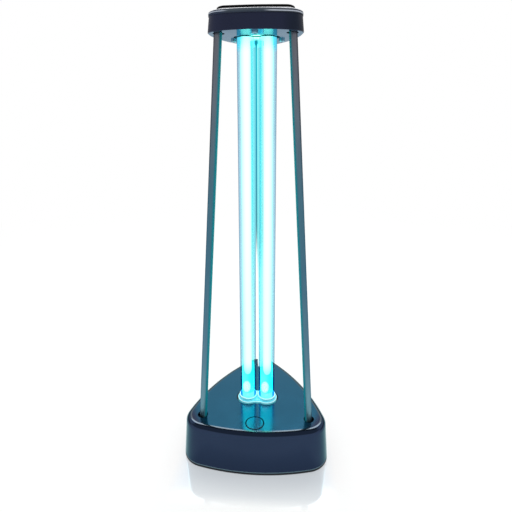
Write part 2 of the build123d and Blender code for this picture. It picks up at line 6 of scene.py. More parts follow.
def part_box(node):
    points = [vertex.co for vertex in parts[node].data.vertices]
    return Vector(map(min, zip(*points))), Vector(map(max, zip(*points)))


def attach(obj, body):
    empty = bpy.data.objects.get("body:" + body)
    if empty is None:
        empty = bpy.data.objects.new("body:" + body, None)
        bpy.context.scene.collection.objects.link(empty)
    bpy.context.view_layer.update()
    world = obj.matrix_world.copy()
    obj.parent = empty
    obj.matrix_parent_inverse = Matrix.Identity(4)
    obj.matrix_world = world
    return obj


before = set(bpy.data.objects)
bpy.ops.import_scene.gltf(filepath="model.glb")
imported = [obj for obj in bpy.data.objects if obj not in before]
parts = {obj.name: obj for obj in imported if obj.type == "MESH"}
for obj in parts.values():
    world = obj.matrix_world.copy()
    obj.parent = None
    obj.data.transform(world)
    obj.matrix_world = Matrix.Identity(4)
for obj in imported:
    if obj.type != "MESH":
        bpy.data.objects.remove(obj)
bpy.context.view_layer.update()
mm = 0.001
white = (1.0, 1.0, 1.0)
noiseSpan = (0.3, 0.7)  # most of a noise lies between these
flowStretch = (1.0, 1.0, 0.3)  # draws patches out along the tubes
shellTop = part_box("base_shell")[1].z
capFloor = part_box("cap_body")[0].z
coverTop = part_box("cap_cover")[1].z
tubeLow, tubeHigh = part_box("uv_tube")
tubeSpacing = (tubeHigh.x - tubeLow.x) - (tubeHigh.y - tubeLow.y)  # from one tube's axis to the other's
print("frame loaded:", len(parts), "pieces")


# small helpers for node trees

def addNode(tree, kind, values=None, **settings):
    node = tree.nodes.new(kind)
    for key, value in settings.items():
        setattr(node, key, value)
    for key, value in (values or {}).items():
        feed(tree, node.inputs[key], value)
    return node


def feed(tree, socket, value):
    if hasattr(value, "is_output"):
        tree.links.new(value, socket)
    elif socket.type == "RGBA" and len(value) == 3:
        socket.default_value = (*value, 1.0)
    else:
        socket.default_value = value


def objectPoint(tree):
    return addNode(tree, "ShaderNodeTexCoord").outputs["Object"]


def axisOf(tree, point, axis):
    return addNode(tree, "ShaderNodeSeparateXYZ", {"Vector": point}).outputs[axis]


def stretched(tree, point, scale):
    return addNode(tree, "ShaderNodeMapping", {"Vector": point, "Scale": scale}).outputs[0]


def noiseOf(tree, point, scale, detail=3.0, roughness=0.55):
    values = {"Vector": point, "Scale": scale, "Detail": detail, "Roughness": roughness}
    return addNode(tree, "ShaderNodeTexNoise", values).outputs["Fac"]


def mathOf(tree, operation, first, second=0.0):
    return addNode(tree, "ShaderNodeMath", {0: first, 1: second}, operation=operation).outputs[0]


def vectorOf(tree, operation, first, second=(0.0, 0.0, 0.0)):
    node = addNode(tree, "ShaderNodeVectorMath", {0: first, 1: second}, operation=operation)
    return node.outputs["Value" if operation in ("LENGTH", "DOT_PRODUCT") else "Vector"]


def combine(tree, x, y, z):
    return addNode(tree, "ShaderNodeCombineXYZ", {"X": x, "Y": y, "Z": z}).outputs[0]


def levels(start, sizes):
    return [start + size * mm for size in sizes]


def spanOf(tree, value, low, high, toLow=0.0, toHigh=1.0, kind="SMOOTHSTEP"):
    values = {"Value": value, "From Min": low, "From Max": high, "To Min": toLow, "To Max": toHigh}
    return addNode(tree, "ShaderNodeMapRange", values, interpolation_type=kind).outputs[0]


# 1 between low and high, with soft ends inside them
def bandOf(tree, value, low, high, soft):
    rise, fall = spanOf(tree, value, low, low + soft), spanOf(tree, value, high, high - soft)
    return mathOf(tree, "MULTIPLY", rise, fall)


def blendOf(tree, factor, first, second):
    return addNode(tree, "ShaderNodeMix", {0: factor, 2: first, 3: second}).outputs[0]


def mixColours(tree, factor, first, second, blend="MIX"):
    node = addNode(tree, "ShaderNodeMix", {0: factor, 6: first, 7: second}, data_type="RGBA", blend_type=blend)
    return node.outputs[2]


def rampOf(tree, factor, stops):
    node = addNode(tree, "ShaderNodeValToRGB", {"Fac": factor})
    line = node.color_ramp.elements
    while len(line) < len(stops):
        line.new(1.0)
    for element, (place, colour) in zip(line, stops):
        element.position = place
        element.color = (*colour, 1.0)
    return node.outputs["Color"]


def bumpOf(tree, height, strength, distance):
    values = {"Height": height, "Strength": strength, "Distance": distance}
    return addNode(tree, "ShaderNodeBump", values).outputs["Normal"]


def fedBy(socket):
    return socket.links[0].from_socket


def startMaterial(name):
    material = bpy.data.materials.new(name)
    material.use_nodes = True
    tree = material.node_tree
    return material, tree, tree.nodes["Principled BSDF"]


def replaceShader(tree, shader, surface):
    tree.nodes.remove(shader)
    tree.links.new(surface, tree.nodes["Material Output"].inputs["Surface"])


# whether the camera sees a place straight on, and whether it does so at all, gloss and glass included
def sightOf(tree):
    path = addNode(tree, "ShaderNodeLightPath").outputs
    mirrored = mathOf(tree, "MAXIMUM", path["Is Glossy Ray"], path["Is Transmission Ray"])
    return path["Is Camera Ray"], mathOf(tree, "MAXIMUM", path["Is Camera Ray"], mirrored)


def dress(material, *names):
    for name in names:
        for holder in parts[name].material_slots:
            holder.material = material


# a plain finish: two shades in soft patches, a spread of roughness, a fine grain
def grainedFinish(name, look):
    material, tree, shader = startMaterial(name)
    point = objectPoint(tree)
    patches = noiseOf(tree, point, look["patchScale"])
    feed(tree, shader.inputs["Base Color"], mixColours(tree, patches, look["shade"], look["tint"]))
    smear = noiseOf(tree, point, look["smearScale"], detail=4.0)
    feed(tree, shader.inputs["Roughness"], spanOf(tree, smear, *noiseSpan, *look["rough"], kind="LINEAR"))
    grain = noiseOf(tree, point, look["grainScale"], detail=2.0)
    feed(tree, shader.inputs["Normal"], bumpOf(tree, grain, look["grain"], look["grainDepth"] * mm))
    shader.inputs["Metallic"].default_value = look.get("metal", 0.0)
    shader.inputs["Specular IOR Level"].default_value = look.get("specular", 0.5)
    shader.inputs["Specular Tint"].default_value = (*look.get("sheenTint", white), 1.0)
    return material, tree, shader, point


# base housing, button and cap body: navy lacquer, and on the base's flat top a tinted mirror gloss
navyLook = {
    "shade": (0.0235, 0.0380, 0.0745),
    "tint": (0.0275, 0.0440, 0.0865),
    "patchScale": 16.0,
    "smearScale": 90.0,
    "rough": (0.10, 0.17),
    "grainScale": 700.0,
    "grain": 0.05,
    "grainDepth": 0.02,
    "metal": 1.0,
    "sheenTint": (0.70, 0.95, 0.95),
}
panelLook = {
    "shade": (0.014, 0.096, 0.168),
    "tint": (0.020, 0.117, 0.202),
    "edge": (-0.010, -0.003),  # heights from the base's top between which the lacquer turns to mirror gloss, mm
    "paintedLipHighlight": (0.100, 0.125, 0.150),
    "lip": (-0.30, -0.14),  # and between which the rounded edge catches light: a paler colour there is a painted highlight that whitens the softbox's reflection
    "paintedDarkCorner": (0.028, 0.036, 0.075),
    "paintedDarkCornerReach": (60.0, 70.0),  # distance from the lamp's axis over which the corners take painted shade, mm
    "metal": 0.92,
    "cloudScale": 9.0,
    "smearScale": 60.0,
    "rough": (0.125, 0.2),
}
capNavyLook = {
    **navyLook,
    "shade": (0.0155, 0.0185, 0.0370),
    "tint": (0.0185, 0.0225, 0.0440),
    "metal": 0.0,
    "specular": 0.18,
    "sheenTint": (0.45, 0.52, 1.0),
    "paintedShadeEndColour": (0.0095, 0.0135, 0.0215),
    "end": (20.0, 32.0),  # distance to the right of the lamp's axis over which the front darkens to painted shade, mm
    "underside": (0.05, 0.20),  # heights above the cap's lowest face between which the mirror gloss ends, mm
    "underColour": (0.030, 0.050, 0.090),
    "underTint": (0.66, 0.83, 0.95),
}


def panelFinish(name, top):
    material, tree, shader, point = grainedFinish(name, navyLook)
    height = axisOf(tree, point, "Z")
    mask = spanOf(tree, height, *levels(top, panelLook["edge"]))
    # painted highlight: a paler band on the rounded edge where the softbox's reflection falls
    lip = spanOf(tree, height, *levels(top, panelLook["lip"]))
    wall = mixColours(tree, lip, fedBy(shader.inputs["Base Color"]), panelLook["paintedLipHighlight"])
    cloud = noiseOf(tree, point, panelLook["cloudScale"], detail=2.0)
    panel = mixColours(tree, cloud, panelLook["shade"], panelLook["tint"])
    # painted shade: the top's corners, far from the lamp's axis, darkened to stand for a dark reflection
    reach = vectorOf(tree, "LENGTH", vectorOf(tree, "MULTIPLY", point, (1.0, 1.0, 0.0)))
    darkCorner = spanOf(tree, reach, *levels(0.0, panelLook["paintedDarkCornerReach"]))
    panel = mixColours(tree, darkCorner, panel, panelLook["paintedDarkCorner"])
    feed(tree, shader.inputs["Base Color"], mixColours(tree, mask, wall, panel))
    feed(tree, shader.inputs["Metallic"], spanOf(tree, mask, 0.0, 1.0, navyLook["metal"], panelLook["metal"]))
    feed(tree, shader.inputs["Specular Tint"], mixColours(tree, mask, navyLook["sheenTint"], white))
    smear = noiseOf(tree, point, panelLook["smearScale"])
    rough = spanOf(tree, smear, *noiseSpan, *panelLook["rough"])
    feed(tree, shader.inputs["Roughness"], blendOf(tree, mask, fedBy(shader.inputs["Roughness"]), rough))
    return material


def capFinish():
    material, tree, shader, point = grainedFinish("navyCap", capNavyLook)
    low, high = levels(capFloor, capNavyLook["underside"])
    under = spanOf(tree, axisOf(tree, point, "Z"), high, low)
    # painted shade: the cap's front darkens towards its right end
    end = spanOf(tree, axisOf(tree, point, "X"), *levels(0.0, capNavyLook["end"]))
    front = mixColours(tree, end, fedBy(shader.inputs["Base Color"]), capNavyLook["paintedShadeEndColour"])
    feed(tree, shader.inputs["Base Color"], mixColours(tree, under, front, capNavyLook["underColour"]))
    feed(tree, shader.inputs["Metallic"], under)
    tint = mixColours(tree, under, capNavyLook["sheenTint"], capNavyLook["underTint"])
    feed(tree, shader.inputs["Specular Tint"], tint)
    return material


dress(panelFinish("navyShell", shellTop), "base_shell")
dress(panelFinish("navyButton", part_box("power_button")[1].z), "power_button")
dress(capFinish(), "cap_body")
print("navy lacquer on base, button and cap")


# base plate: satin black, with a painted highlight on its upper bevel
plateLook = {
    "shade": (0.006, 0.010, 0.014),
    "tint": (0.010, 0.015, 0.020),
    "patchScale": 30.0,
    "smearScale": 140.0,
    "rough": (0.32, 0.45),
    "grainScale": 1500.0,
    "grain": 0.12,
    "grainDepth": 0.03,
    "specular": 0.25,
    "paintedSeamHighlight": (0.150, 0.250, 0.310),
    "paintedSeamHighlightBand": (2.25, 2.33),  # heights above the plate's underside where its upper bevel begins and turns paler, a painted highlight, mm
}


def plateFinish():
    material, tree, shader, point = grainedFinish("satinPlate", plateLook)
    seamHighlightLevels = levels(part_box("base_plate")[0].z, plateLook["paintedSeamHighlightBand"])
    # painted highlight: the upper bevel turns paler
    seam = spanOf(tree, axisOf(tree, point, "Z"), *seamHighlightLevels)
    colour = mixColours(tree, seam, fedBy(shader.inputs["Base Color"]), plateLook["paintedSeamHighlight"])
    feed(tree, shader.inputs["Base Color"], colour)
    return material


dress(plateFinish(), "base_plate")

# anti-slip pad and cable gland: rubber
padLook = {
    "shade": (0.012, 0.012, 0.013),
    "tint": (0.024, 0.024, 0.026),
    "patchScale": 60.0,
    "smearScale": 300.0,
    "rough": (0.75, 0.92),
    "grainScale": 900.0,
    "grain": 0.5,
    "grainDepth": 0.15,
    "specular": 0.25,
}
glandLook = dict(padLook, shade=(0.010, 0.011, 0.013), rough=(0.45, 0.6), grain=0.15, grainDepth=0.04)
dress(grainedFinish("padRubber", padLook)[0], "anti_slip_pad")
dress(grainedFinish("glandRubber", glandLook)[0], "cable_gland")


# rods: slate metal drawn along its length, with painted lamp light: teal on the side that faces the lamp, and
# on the outer side teal low down turning grey at the top
rodLook = {
    "shade": (0.78, 0.80, 0.82),
    # painted light: the outer side's tone along the height, teal low down and grey at the top
    "outside": [(0.0, (0.190, 0.360, 0.430)), (0.10, (0.165, 0.325, 0.395)), (0.20, (0.120, 0.240, 0.315)),
                (0.45, (0.070, 0.172, 0.245)), (0.62, (0.074, 0.175, 0.238)), (0.84, (0.145, 0.175, 0.212)),
                (1.0, (0.160, 0.160, 0.185))],
    # painted light: the lamp's teal on the side that faces it
    "inside": [(0.0, (0.006, 0.225, 0.285)), (1.0, (0.006, 0.190, 0.240))],
    # painted light for the rear rod: near white low down on its side towards the lamp, teal higher up
    "rearInside": [(0.0, (0.95, 0.98, 1.0)), (0.36, (0.90, 0.97, 1.0)), (0.50, (0.25, 0.60, 0.68)),
                   (0.62, (0.02, 0.32, 0.40)), (1.0, (0.03, 0.60, 0.68))],
    "rearPaintedGlow": (0.45, 0.62, 0.60),
    "rearPaintedGlowFall": (0.34, 0.50),  # shares of the rod's height between which the painted glow ends
    "paintedRimLight": (0.12, 0.50, 0.56),
    "paintedRim": (0.84, 0.98),  # as turn, for a paler strip of painted light where a face looks straight at the lamp
    "turn": (-0.45, 0.25),  # how squarely a face looks at the lamp's axis before it takes the inside colour of painted lamp light
    "edgeTint": (0.30, 0.34, 0.40),
    "stretch": (900.0, 900.0, 5.0),
    "specular": 0.15,
    "rough": (0.28, 0.42),
    "grain": 0.06,
    "grainDepth": 0.02,
}


def rodFinish(name, inside):
    material, tree, shader = startMaterial(name)
    coords = addNode(tree, "ShaderNodeTexCoord").outputs
    point = coords["Object"]
    drawn = noiseOf(tree, stretched(tree, point, rodLook["stretch"]), 1.0, detail=4.0)
    low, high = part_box("rod_rear")
    share = spanOf(tree, axisOf(tree, point, "Z"), low.z, high.z, kind="LINEAR")
    towards = vectorOf(tree, "NORMALIZE", vectorOf(tree, "MULTIPLY", point, (-1.0, -1.0, 0.0)))
    squarely = vectorOf(tree, "DOT_PRODUCT", coords["Normal"], towards)
    # painted light: faces turned to the lamp take the teal inside colour
    lit = spanOf(tree, squarely, *rodLook["turn"])
    metal = mixColours(tree, lit, rampOf(tree, share, rodLook["outside"]), rampOf(tree, share, inside))
    # painted light: a paler teal strip where a face looks straight at the lamp
    paintedRim = spanOf(tree, squarely, *rodLook["paintedRim"])
    metal = mixColours(tree, paintedRim, metal, mixColours(tree, 1.0, metal, rodLook["paintedRimLight"], "LIGHTEN"))
    streaked = mixColours(tree, drawn, metal, mixColours(tree, 1.0, metal, rodLook["shade"], "MULTIPLY"))
    feed(tree, shader.inputs["Base Color"], streaked)
    shader.inputs["Specular Tint"].default_value = (*rodLook["edgeTint"], 1.0)
    feed(tree, shader.inputs["Roughness"], spanOf(tree, drawn, *noiseSpan, *rodLook["rough"], kind="LINEAR"))
    feed(tree, shader.inputs["Normal"], bumpOf(tree, drawn, rodLook["grain"], rodLook["grainDepth"] * mm))
    feed(tree, shader.inputs["Metallic"], mathOf(tree, "SUBTRACT", 1.0, lit))
    shader.inputs["Specular IOR Level"].default_value = rodLook["specular"]
    return material, tree, shader, share, lit


dress(rodFinish("slateRod", rodLook["inside"])[0], "rod_front_left", "rod_front_right")
rearMaterial, rearTree, rearShader, rearShare, rearLit = rodFinish("slateRearRod", rodLook["rearInside"])
# painted light: the rear rod's lower side towards the lamp glows, though it is no lamp
rearFall = spanOf(rearTree, rearShare, *rodLook["rearPaintedGlowFall"], 1.0, 0.0)
rearShader.inputs["Emission Color"].default_value = (*rodLook["rearPaintedGlow"], 1.0)
feed(rearTree, rearShader.inputs["Emission Strength"], mathOf(rearTree, "MULTIPLY", rearFall, rearLit))
dress(rearMaterial, "rod_rear")
print("rods drawn")

# cap cover, trim and lid
coverLook = {
    "shade": (0.050, 0.056, 0.068),
    "tint": (0.072, 0.080, 0.094),
    "patchScale": 26.0,
    "smearScale": 150.0,
    "rough": (0.22, 0.32),
    "grainScale": 1400.0,
    "grain": 0.08,
    "grainDepth": 0.02,
    "specular": 0.5,
}
lipLook = {
    "height": 3.7,  # of the lip that shows above the cap's body, mm
    # painted highlights: pale lines across the lip, in the middle and towards each side
    "middle": [(0.0, (0.010, 0.017, 0.038)), (0.3, (0.025, 0.038, 0.059)), (0.5, (0.045, 0.060, 0.078)),
               (0.7, (0.060, 0.078, 0.095)), (0.86, (0.075, 0.090, 0.110)), (0.94, (0.720, 0.750, 0.800)),
               (0.975, (0.720, 0.750, 0.800)), (1.0, (0.110, 0.120, 0.145))],
    "left": [(0.0, (0.017, 0.028, 0.060)), (0.36, (0.012, 0.024, 0.052)), (0.46, (0.400, 0.450, 0.540)),
             (0.55, (0.400, 0.450, 0.540)), (0.64, (0.012, 0.018, 0.036)), (0.84, (0.016, 0.022, 0.042)),
             (0.94, (0.480, 0.510, 0.580)), (1.0, (0.110, 0.120, 0.145))],
    "right": [(0.0, (0.012, 0.018, 0.030)), (0.18, (0.010, 0.017, 0.030)), (0.31, (0.420, 0.460, 0.530)),
              (0.41, (0.420, 0.460, 0.530)), (0.54, (0.028, 0.036, 0.052)), (0.72, (0.034, 0.042, 0.062)),
              (0.88, (0.560, 0.590, 0.650)), (1.0, (0.110, 0.120, 0.145))],
    "leftFrom": (-20.0, -27.0),  # where the painted highlight line begins on either side of the front's middle, mm
    "rightFrom": (6.0, 15.0),
    "specular": 0.22,
}
trimLook = dict(coverLook, shade=(0.86, 0.87, 0.90), tint=(0.93, 0.93, 0.95), rough=(0.10, 0.18), metal=0.45)
lidLook = {
    **coverLook,
    "shade": (0.0015, 0.0015, 0.002),
    "tint": (0.003, 0.003, 0.004),
    "rough": (0.10, 0.16),
    "specular": 0.06,
    "foot": (1.7, 1.8),  # heights above the lip between which the painted trim colour turns to black, mm
}


def lipFinish():
    material, tree, shader, point = grainedFinish("coverGrey", coverLook)
    low = coverTop - lipLook["height"] * mm
    rise = spanOf(tree, axisOf(tree, point, "Z"), low, coverTop, kind="LINEAR")
    across = axisOf(tree, point, "X")
    # painted highlight lines, by height on the lip and by place along its front
    colour = rampOf(tree, rise, lipLook["middle"])
    for side in ("left", "right"):
        share = spanOf(tree, across, *levels(0.0, lipLook[side + "From"]))
        colour = mixColours(tree, share, colour, rampOf(tree, rise, lipLook[side]))
    feed(tree, shader.inputs["Base Color"], colour)
    shader.inputs["Specular IOR Level"].default_value = lipLook["specular"]
    return material


# the lid's lowest band is painted in the trim's pale colour: a painted highlight that widens the bright line
# below the lid
def lidFinish():
    material, tree, shader, point = grainedFinish("lidBlack", lidLook)
    upper = spanOf(tree, axisOf(tree, point, "Z"), *levels(coverTop, lidLook["foot"]))
    colour = mixColours(tree, upper, trimLook["tint"], fedBy(shader.inputs["Base Color"]))
    feed(tree, shader.inputs["Base Color"], colour)
    return material


dress(lipFinish(), "cap_cover")
dress(grainedFinish("trimBright", trimLook)[0], "cap_trim")
dress(lidFinish(), "cap_lid")

# screws, pins and the inner pieces
steelLook = dict(coverLook, shade=(0.30, 0.31, 0.33), tint=(0.42, 0.43, 0.45), rough=(0.25, 0.38), metal=1.0)
# painted reflection: the cap's screws tinted steel-blue to stand for the lamp's cyan glints
capScrewGlintLook = dict(steelLook, shade=(0.20, 0.42, 0.52), tint=(0.32, 0.58, 0.70))
brassLook = dict(steelLook, shade=(0.60, 0.42, 0.16), tint=(0.72, 0.52, 0.22))
# painted shade: the lampholder near-black, so that the gap round the lamp cap reads dark
holderShadeLook = dict(coverLook, shade=(0.014, 0.016, 0.020), tint=(0.024, 0.026, 0.031), rough=(0.4, 0.52))
ferriteLook = dict(padLook, shade=(0.030, 0.028, 0.027), tint=(0.055, 0.050, 0.047), rough=(0.6, 0.75))
filmLook = dict(coverLook, shade=(0.55, 0.36, 0.06), tint=(0.64, 0.44, 0.10), rough=(0.35, 0.45))
terminalLook = dict(coverLook, shade=(0.04, 0.20, 0.10), tint=(0.06, 0.26, 0.13), rough=(0.35, 0.48))
switchLook = dict(coverLook, shade=(0.012, 0.012, 0.014), tint=(0.022, 0.022, 0.024), rough=(0.4, 0.5))
siliconeLook = dict(padLook, shade=(0.55, 0.60, 0.62), tint=(0.66, 0.70, 0.72), rough=(0.5, 0.62), grain=0.1)
innerFinishes = [
    ("fastenerSteel", steelLook, ["base_plate_screws", "rod_foot_screws", "rod_head_screws",
                                  "lampholder_screws", "ballast_screws", "switch_board_screws"]),
    ("capScrewPaintedGlint", capScrewGlintLook, ["cap_screws"]),
    ("pinBrass", brassLook, ["lamp_pins"]),
    ("holderPaintedShade", holderShadeLook, ["lampholder"]),
    ("chokeFerrite", ferriteLook, ["ballast_choke"]),
    ("filmBox", filmLook, ["film_capacitors"]),
    ("terminalGreen", terminalLook, ["terminal_block"]),
    ("switchBlack", switchLook, ["push_switch", "switch_plunger"]),
    ("supportSilicone", siliconeLook, ["tube_support"]),
]
for name, look, dressed in innerFinishes:
    dress(grainedFinish(name, look)[0], *dressed)

# circuit boards: green mask with paler tracks
boardLook = {
    "mask": (0.010, 0.085, 0.035),
    "track": (0.030, 0.170, 0.070),
    "trackScale": 160.0,
    "trackEdge": (0.42, 0.5),
    "wobble": 0.02,
    "wobbleScale": 40.0,
    "relief": 0.2,
    "reliefDepth": 0.03,
    "rough": 0.38,
}


def boardFinish():
    material, tree, shader = startMaterial("boardGreen")
    point = objectPoint(tree)
    values = {"Vector": point, "Scale": boardLook["wobbleScale"]}
    noise = addNode(tree, "ShaderNodeTexNoise", values).outputs["Color"]
    values = {"Vector": mixColours(tree, boardLook["wobble"], point, noise), "Scale": boardLook["trackScale"]}
    tracks = addNode(tree, "ShaderNodeTexVoronoi", values, distance="MANHATTAN").outputs["Distance"]
    line = spanOf(tree, tracks, *boardLook["trackEdge"])
    feed(tree, shader.inputs["Base Color"], mixColours(tree, line, boardLook["mask"], boardLook["track"]))
    feed(tree, shader.inputs["Normal"], bumpOf(tree, line, boardLook["relief"], boardLook["reliefDepth"] * mm))
    shader.inputs["Roughness"].default_value = boardLook["rough"]
    return material


dress(boardFinish(), "ballast_board", "switch_board")

# electrolytic capacitor: blue sleeve with a pale stripe along its top
sleeveLook = {
    "sleeve": (0.016, 0.032, 0.110),
    "sleeveTint": (0.022, 0.042, 0.135),
    "patchScale": 200.0,
    "stripe": (0.55, 0.57, 0.60),
    "stripeEdge": (1.5, 1.35),  # distances from the stripe's middle between which it begins, mm
    "rough": 0.3,
}


def sleeveFinish():
    material, tree, shader = startMaterial("capacitorSleeve")
    point = objectPoint(tree)
    low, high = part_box("ballast_capacitor")
    aside = mathOf(tree, "SUBTRACT", axisOf(tree, point, "X"), (low.x + high.x) / 2)
    stripe = spanOf(tree, mathOf(tree, "ABSOLUTE", aside), *levels(0.0, sleeveLook["stripeEdge"]))
    patches = noiseOf(tree, point, sleeveLook["patchScale"])
    blue = mixColours(tree, patches, sleeveLook["sleeve"], sleeveLook["sleeveTint"])
    feed(tree, shader.inputs["Base Color"], mixColours(tree, stripe, blue, sleeveLook["stripe"]))
    shader.inputs["Roughness"].default_value = sleeveLook["rough"]
    return material


dress(sleeveFinish(), "ballast_capacitor")
print("cap and inner pieces finished")

# lamp cap: clear plug, pale cyan, with a painted glow for the light from within and painted highlights on its
# bevels
lampCapLook = {
    "shade": (0.13, 0.60, 0.76),
    "tint": (0.30, 0.82, 0.94),
    "patchScale": 220.0,
    "smearScale": 300.0,
    "rough": (0.08, 0.16),
    "grainScale": 900.0,
    "grain": 0.06,
    "grainDepth": 0.03,
    "specular": 0.6,
    "paintedRimLight": (0.80, 0.98, 1.0),
    "flangeBevel": (0.70, 1.18),  # heights above the base's top of the painted highlights on the bevels, mm
    "collarBevel": 3.8,
    "glow": (0.10, 0.75, 0.86),
    "glowStrength": 0.22,
    "bevelSoft": 0.05,
    "coat": 0.5,
    "coatRough": 0.05,
}


def lampCapFinish():
    material, tree, shader, point = grainedFinish("clearLampCap", lampCapLook)
    height = mathOf(tree, "SUBTRACT", axisOf(tree, point, "Z"), shellTop)
    soft, collarTop = levels(0.0, (lampCapLook["bevelSoft"], lampCapLook["collarBevel"]))
    # painted highlights: paler bevels on the flange and the collar
    bevel = bandOf(tree, height, *levels(0.0, lampCapLook["flangeBevel"]), soft)
    paintedRim = mathOf(tree, "MAXIMUM", bevel, spanOf(tree, height, collarTop - soft, collarTop))
    colour = mixColours(tree, paintedRim, fedBy(shader.inputs["Base Color"]), lampCapLook["paintedRimLight"])
    feed(tree, shader.inputs["Base Color"], colour)
    # painted light: a faint glow, though the cap is no lamp
    shader.inputs["Emission Color"].default_value = (*lampCapLook["glow"], 1.0)
    shader.inputs["Emission Strength"].default_value = lampCapLook["glowStrength"]
    shader.inputs["Coat Weight"].default_value = lampCapLook["coat"]
    shader.inputs["Coat Roughness"].default_value = lampCapLook["coatRough"]
    return material


dress(lampCapFinish(), "lamp_cap")

# electrodes: glass stem below, nickel leads and coated filament above
electrodeLook = {
    "glass": (0.45, 0.72, 0.78),
    "metal": (0.42, 0.46, 0.50),
    "speck": (0.60, 0.64, 0.68),
    "speckScale": 1800.0,
    "change": (2.0, 3.0),  # heights above the base's top between which glass turns to metal, mm
    "rough": 0.25,
}


def electrodeFinish():
    material, tree, shader = startMaterial("electrodeMetal")
    point = objectPoint(tree)
    upper = spanOf(tree, axisOf(tree, point, "Z"), *levels(shellTop, electrodeLook["change"]))
    specks = noiseOf(tree, point, electrodeLook["speckScale"])
    metal = mixColours(tree, specks, electrodeLook["metal"], electrodeLook["speck"])
    feed(tree, shader.inputs["Base Color"], mixColours(tree, upper, electrodeLook["glass"], metal))
    feed(tree, shader.inputs["Metallic"], upper)
    shader.inputs["Roughness"].default_value = electrodeLook["rough"]
    return material


dress(electrodeFinish(), "electrodes")

# quartz tube: a clear skin whose outer face tints what is behind it, more where it is seen edge on
quartzLook = {
    "upper": [(0.0, (1.0, 1.0, 1.0)), (0.015, (0.98, 1.0, 1.0)), (0.038, (0.92, 1.0, 1.0)),
              (0.077, (0.82, 1.0, 1.0)), (0.132, (0.70, 0.985, 0.985)), (0.206, (0.70, 0.95, 0.98)),
              (0.306, (0.67, 0.90, 0.965)), (0.445, (0.63, 0.83, 0.915)), (0.67, (0.53, 0.65, 0.75)),
              (1.0, (0.45, 0.55, 0.65))],
    "lower": [(0.0, (1.0, 1.0, 1.0)), (0.27, (0.85, 1.0, 1.0)), (0.36, (0.34, 0.86, 1.0)),
              (0.52, (0.14, 0.72, 1.0)), (1.0, (0.10, 0.62, 0.95))],
    "lowShade": (0.91, 1.0, 0.99),  # deepens the upper tint towards the base
    "lowRise": (60.0, 220.0),  # heights above the base's top, mm
    "change": (26.0, 34.0),  # heights above the base's top between which the lower tint ends, mm
    "skin": (7.2, 7.6),  # distance from a tube's axis beyond which a face is the outer one, mm
    "bridge": (8.2, 8.4),  # and beyond which it belongs to the bridge, which stays clear
    "shadeRing": (-0.70, 0.50),  # heights from the cap's underside of the dark line of painted shade round the tubes, mm
    "shadeRingSoft": 0.2,
    "shadeRingColour": (0.010, 0.050, 0.065),
    "gloss": 0.04,
    "ior": 1.25,
    "shine": 0.10,
}


def quartzFinish():
    material, tree, shader = startMaterial("quartzGlass")
    point = objectPoint(tree)
    # how squarely a tube's side is seen, with the height of the view taken out
    squarely = mathOf(tree, "SUBTRACT", 1.0, addNode(tree, "ShaderNodeLayerWeight").outputs["Facing"])
    upright = addNode(tree, "ShaderNodeNormal").outputs["Normal"]
    lookDown = addNode(tree, "ShaderNodeLayerWeight", {"Normal": upright}).outputs["Facing"]
    lookDown = mathOf(tree, "SUBTRACT", 1.0, lookDown)
    level = mathOf(tree, "SQRT", mathOf(tree, "SUBTRACT", 1.0, mathOf(tree, "MULTIPLY", lookDown, lookDown)))
    facing = mathOf(tree, "SUBTRACT", 1.0, mathOf(tree, "DIVIDE", squarely, level))
    height = axisOf(tree, point, "Z")
    change = spanOf(tree, height, *levels(shellTop, quartzLook["change"]))
    rise = spanOf(tree, height, *levels(shellTop, quartzLook["lowRise"]))
    shade = mixColours(tree, rise, quartzLook["lowShade"], white)
    upper = mixColours(tree, 1.0, rampOf(tree, facing, quartzLook["upper"]), shade, "MULTIPLY")
    tint = mixColours(tree, change, rampOf(tree, facing, quartzLook["lower"]), upper)
    # distance from the nearer tube's axis tells the outer face from the inner one and from the bridge
    aside = mathOf(tree, "SUBTRACT", mathOf(tree, "ABSOLUTE", axisOf(tree, point, "X")), tubeSpacing / 2)
    radius = vectorOf(tree, "LENGTH", combine(tree, aside, axisOf(tree, point, "Y"), 0.0))
    outer = spanOf(tree, radius, *levels(0.0, quartzLook["skin"]))
    bridge = spanOf(tree, radius, *levels(0.0, quartzLook["bridge"]))
    tint = mixColours(tree, mathOf(tree, "SUBTRACT", outer, bridge), white, tint)
    # painted shade: a dark line round the tubes where they enter the cap
    shadeRing = bandOf(tree, height, *levels(capFloor, quartzLook["shadeRing"]), quartzLook["shadeRingSoft"] * mm)
    tint = mixColours(tree, mathOf(tree, "MULTIPLY", shadeRing, outer), tint, quartzLook["shadeRingColour"])
    clear = addNode(tree, "ShaderNodeBsdfTransparent", {"Color": tint}).outputs[0]
    gloss = addNode(tree, "ShaderNodeBsdfGlossy", {"Roughness": quartzLook["gloss"]}).outputs[0]
    shine = addNode(tree, "ShaderNodeFresnel", {"IOR": quartzLook["ior"]}).outputs[0]
    share = mathOf(tree, "MULTIPLY", shine, quartzLook["shine"])
    replaceShader(tree, shader, addNode(tree, "ShaderNodeMixShader", {0: share, 1: clear, 2: gloss}).outputs[0])
    return material


dress(quartzFinish(), "uv_tube")
print("lamp glass finished")


# glow inside the tubes, by geometry nodes

def startTree(name, sizes):
    tree = bpy.data.node_groups.new(name, "GeometryNodeTree")
    tree.interface.new_socket("Geometry", in_out="OUTPUT", socket_type="NodeSocketGeometry")
    for key in sizes:
        tree.interface.new_socket(key, in_out="INPUT", socket_type="NodeSocketFloat")
    tree.interface.new_socket("Material", in_out="INPUT", socket_type="NodeSocketMaterial")
    given = tree.nodes.new("NodeGroupInput").outputs
    made = tree.nodes.new("NodeGroupOutput").inputs
    return tree, given, made


